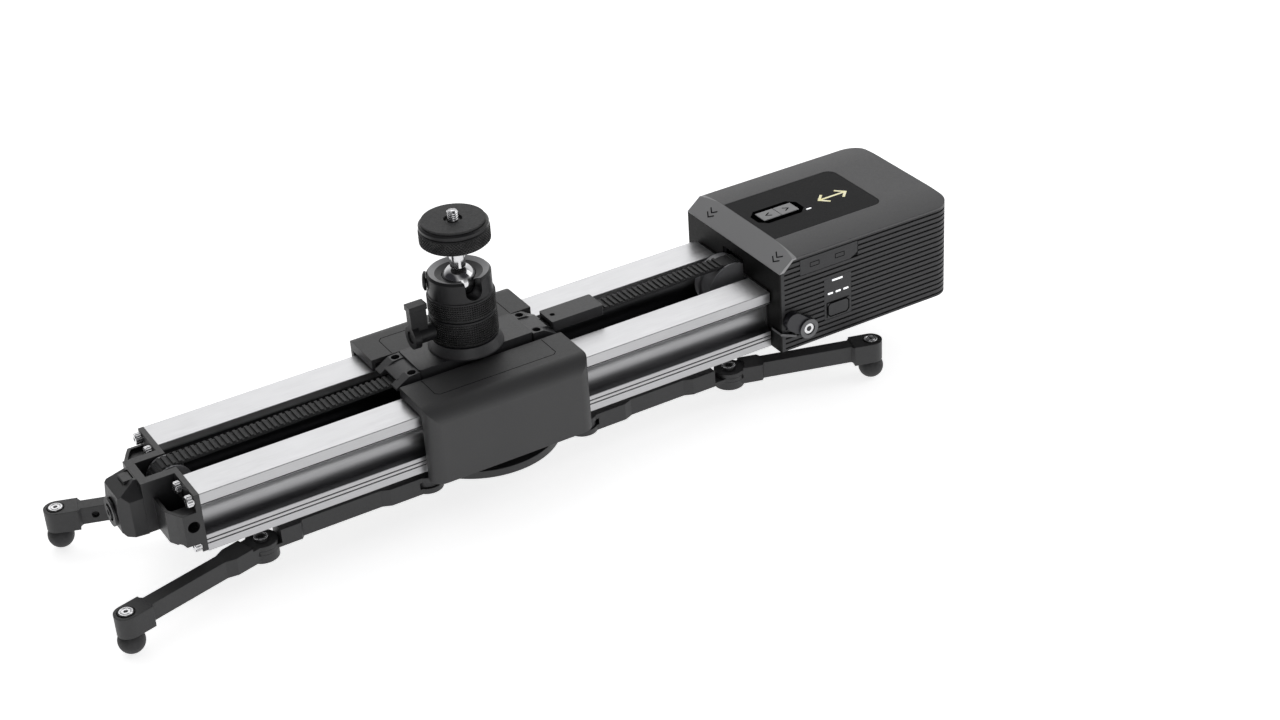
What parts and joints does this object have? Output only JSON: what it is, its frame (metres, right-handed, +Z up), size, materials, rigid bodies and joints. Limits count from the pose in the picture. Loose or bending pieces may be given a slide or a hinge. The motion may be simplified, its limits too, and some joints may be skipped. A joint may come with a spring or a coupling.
{
  "type": "motorised camera slider",
  "caption": "Double-travel motorised camera slider: twin silver rails, belt drive, dark carriage with a ball head, a ribbed motor unit, a round tripod base and folding legs with ball feet.",
  "frame": {"origin": "centre of the mouth of the tripod thread in the base disc's underside", "axes": "+X along the rails towards the motor unit, -Y the operating side with the power button, +Z up"},
  "size_m": [0.5178, 0.1268, 0.155],
  "materials": {
    "rail_metal": "satin silver anodised",
    "bracket_paint": "fine satin black",
    "leg_paint": "satin black powder coat",
    "cover_plastic": "fine-grained dark grey",
    "deck_metal": "satin black",
    "shell_plastic": "dark grey, ribbed",
    "top_plastic": "satin mid grey",
    "panel_gloss": "smooth dark panel",
    "key_plastic": "grey keys",
    "light_white": "white indicator",
    "rubber": "matt black",
    "steel": "bright machined",
    "chrome": "polished",
    "head_paint": "satin black anodised with knurled bands",
    "roller_plastic": "smooth",
    "gear_plastic": "smooth",
    "battery_wrap": "shrink wrap"
  },
  "bodies": {
    "base": {"base_disc": "leg_paint", "base_block": "leg_paint", "base_glides": "roller_plastic", "base_belt_clamp": "deck_metal", "base_hinge_pins": "steel"},
    "rails": {"front_rail": "rail_metal", "rear_rail": "rail_metal", "left_end_bracket": "bracket_paint", "right_end_bracket": "bracket_paint", "bracket_screws": "steel", "tensioner_nose": "bracket_paint", "belt": "rubber", "pulley_axles": "steel", "motor_shell": "shell_plastic", "motor_cover": "top_plastic", "control_panel": "panel_gloss", "indicator_panel": "shell_plastic", "indicator_lights": "light_white", "drive_motor": "steel", "battery_pack": "battery_wrap"},
    "carriage": {"front_cover": "cover_plastic", "rear_cover": "cover_plastic", "chassis": "deck_metal", "centre_plate": "deck_metal", "belt_clamps": "deck_metal", "carriage_fasteners": "steel", "head_flange": "head_paint"},
    "tensioner_knob": {"tension_knob": "bracket_paint"},
    "idler": {"idler_pulley": "gear_plastic"},
    "drive": {"drive_pulley": "gear_plastic"},
    "pinion": {"drive_pinion": "gear_plastic"},
    "reverse_key": {"key_reverse": "key_plastic"},
    "forward_key": {"key_forward": "key_plastic"},
    "power_key": {"power_button": "shell_plastic"},
    "flap": {"port_flap": "shell_plastic"},
    "front_lever": {"clamp_lever_front": "shell_plastic"},
    "rear_lever": {"clamp_lever_rear": "shell_plastic"},
    "head": {"head_body": "head_paint"},
    "ball_knob": {"head_tension_knob": "head_paint"},
    "head_lever": {"lock_lever": "head_paint"},
    "ball": {"head_ball": "chrome"},
    "platform": {"head_platform": "head_paint", "platform_pad": "rubber", "camera_screw": "steel"},
    "link_front_left": {"link_front_left": "leg_paint"},
    "leg_front_left": {"leg_front_left": "leg_paint", "foot_front_left": "rubber"},
    "link_rear_left": {"link_rear_left": "leg_paint"},
    "leg_rear_left": {"leg_rear_left": "leg_paint", "foot_rear_left": "rubber"},
    "link_front_right": {"link_front_right": "leg_paint"},
    "leg_front_right": {"leg_front_right": "leg_paint", "foot_front_right": "rubber"},
    "link_rear_right": {"link_rear_right": "leg_paint"},
    "leg_rear_right": {"leg_rear_right": "leg_paint", "foot_rear_right": "rubber"},
    "roller_front_left": {"roller_front_left": "roller_plastic"},
    "roller_rear_left": {"roller_rear_left": "roller_plastic"},
    "roller_front_right": {"roller_front_right": "roller_plastic"},
    "roller_rear_right": {"roller_rear_right": "roller_plastic"}
  },
  "joints": [
    {"name": "rail_slide", "type": "slide", "parent": "base", "child": "rails", "axis": [1, 0, 0], "range_m": [-0.11, 0.074]},
    {"name": "carriage_slide", "type": "slide", "parent": "rails", "child": "carriage", "axis": [1, 0, 0], "range_m": [-0.11, 0.074]},
    {"name": "idler_spin", "type": "hinge", "parent": "rails", "child": "idler", "pos_m": [-0.1755, 0, 0.04], "axis": [0, 1, 0], "continuous": true},
    {"name": "drive_spin", "type": "hinge", "parent": "rails", "child": "drive", "pos_m": [0.1625, 0, 0.04], "axis": [0, 1, 0], "continuous": true},
    {"name": "pinion_spin", "type": "hinge", "parent": "rails", "child": "pinion", "pos_m": [0.1878, 0, 0.04], "axis": [0, 1, 0], "continuous": true},
    {"name": "roller_spin_front_left", "type": "hinge", "parent": "carriage", "child": "roller_front_left", "pos_m": [-0.035, -0.0407, 0.03435], "axis": [0, 0, 1], "continuous": true},
    {"name": "roller_spin_front_right", "type": "hinge", "parent": "carriage", "child": "roller_front_right", "pos_m": [0.029, -0.0407, 0.03435], "axis": [0, 0, 1], "continuous": true},
    {"name": "roller_spin_rear_left", "type": "hinge", "parent": "carriage", "child": "roller_rear_left", "pos_m": [-0.035, 0.0407, 0.03435], "axis": [0, 0, 1], "continuous": true},
    {"name": "roller_spin_rear_right", "type": "hinge", "parent": "carriage", "child": "roller_rear_right", "pos_m": [0.029, 0.0407, 0.03435], "axis": [0, 0, 1], "continuous": true},
    {"name": "reverse_key_press", "type": "slide", "parent": "rails", "child": "reverse_key", "axis": [0, 0, -1], "range_m": [0, 0.0007], "stiffness_N_per_m": 600, "springref_m": -0.0008},
    {"name": "forward_key_press", "type": "slide", "parent": "rails", "child": "forward_key", "axis": [0, 0, -1], "range_m": [0, 0.0007], "stiffness_N_per_m": 600, "springref_m": -0.0008},
    {"name": "power_key_press", "type": "slide", "parent": "rails", "child": "power_key", "axis": [0, 1, 0], "range_m": [0, 0.0008], "stiffness_N_per_m": 600, "springref_m": -0.0008},
    {"name": "flap_hinge", "type": "hinge", "parent": "rails", "child": "flap", "pos_m": [0.2007, -0.0474, 0.0598], "axis": [1, 0, 0], "range_deg": [0, 100]},
    {"name": "front_lever_hinge", "type": "hinge", "parent": "rails", "child": "front_lever", "pos_m": [0.183, -0.05, 0.028], "axis": [0, 1, 0], "range_deg": [0, 75]},
    {"name": "rear_lever_hinge", "type": "hinge", "parent": "rails", "child": "rear_lever", "pos_m": [0.183, 0.05, 0.028], "axis": [0, 1, 0], "range_deg": [0, 75]},
    {"name": "tension_knob_turn", "type": "hinge", "parent": "rails", "child": "tensioner_knob", "pos_m": [-0.20652, 0, 0.0323], "axis": [1, 0, 0], "continuous": true},
    {"name": "link_hinge_front_left", "type": "hinge", "parent": "base", "child": "link_front_left", "pos_m": [-0.0475, -0.03, 0.0064], "axis": [0, 0, 1], "range_deg": [0, 45]},
    {"name": "leg_hinge_front_left", "type": "hinge", "parent": "link_front_left", "child": "leg_front_left", "pos_m": [-0.143, -0.03, 0.0023], "axis": [0, 0, 1], "range_deg": [-15.2, 74.8]},
    {"name": "link_hinge_rear_left", "type": "hinge", "parent": "base", "child": "link_rear_left", "pos_m": [-0.0475, 0.03, 0.0064], "axis": [0, 0, 1], "range_deg": [-45, 0]},
    {"name": "leg_hinge_rear_left", "type": "hinge", "parent": "link_rear_left", "child": "leg_rear_left", "pos_m": [-0.143, 0.03, 0.0023], "axis": [0, 0, 1], "range_deg": [-70.7, 19.3]},
    {"name": "link_hinge_front_right", "type": "hinge", "parent": "base", "child": "link_front_right", "pos_m": [0.0475, -0.03, 0.0064], "axis": [0, 0, 1], "range_deg": [-45, 0]},
    {"name": "leg_hinge_front_right", "type": "hinge", "parent": "link_front_right", "child": "leg_front_right", "pos_m": [0.143, -0.03, 0.0023], "axis": [0, 0, 1], "range_deg": [-72.9, 17.1]},
    {"name": "link_hinge_rear_right", "type": "hinge", "parent": "base", "child": "link_rear_right", "pos_m": [0.0475, 0.03, 0.0064], "axis": [0, 0, 1], "range_deg": [0, 45]},
    {"name": "leg_hinge_rear_right", "type": "hinge", "parent": "link_rear_right", "child": "leg_rear_right", "pos_m": [0.143, 0.03, 0.0023], "axis": [0, 0, 1], "range_deg": [-17.4, 72.6]},
    {"name": "head_pan", "type": "hinge", "parent": "carriage", "child": "head", "pos_m": [-0.003, 0, 0.066], "axis": [0, 0, 1], "continuous": true},
    {"name": "ball_tilt", "type": "hinge", "parent": "head", "child": "ball", "pos_m": [-0.003, 0, 0.098], "axis": [1, 0, 0], "range_deg": [-40, 90]},
    {"name": "platform_spin", "type": "hinge", "parent": "ball", "child": "platform", "pos_m": [-0.003, 0, 0.1213], "axis": [0, 0, 1], "continuous": true},
    {"name": "lock_lever_turn", "type": "hinge", "parent": "head", "child": "head_lever", "pos_m": [-0.034, 0, 0.0733], "axis": [1, 0, 0], "range_deg": [-60, 60]},
    {"name": "head_knob_turn", "type": "hinge", "parent": "head", "child": "ball_knob", "pos_m": [-0.01798, 0.00865, 0.0984], "axis": [-0.866, 0.5, 0], "continuous": true}
  ],
  "couplings": [
    {"joint": "carriage_slide", "follows": "rail_slide", "ratio": 1},
    {"joint": "idler_spin", "follows": "rail_slide", "rad_per_m": 106.38},
    {"joint": "drive_spin", "follows": "rail_slide", "rad_per_m": 67.568},
    {"joint": "pinion_spin", "follows": "rail_slide", "rad_per_m": -104.8},
    {"joint": "roller_spin_front_left", "follows": "rail_slide", "rad_per_m": 156.25},
    {"joint": "roller_spin_front_right", "follows": "rail_slide", "rad_per_m": 156.25},
    {"joint": "roller_spin_rear_left", "follows": "rail_slide", "rad_per_m": -156.25},
    {"joint": "roller_spin_rear_right", "follows": "rail_slide", "rad_per_m": -156.25}
  ]
}
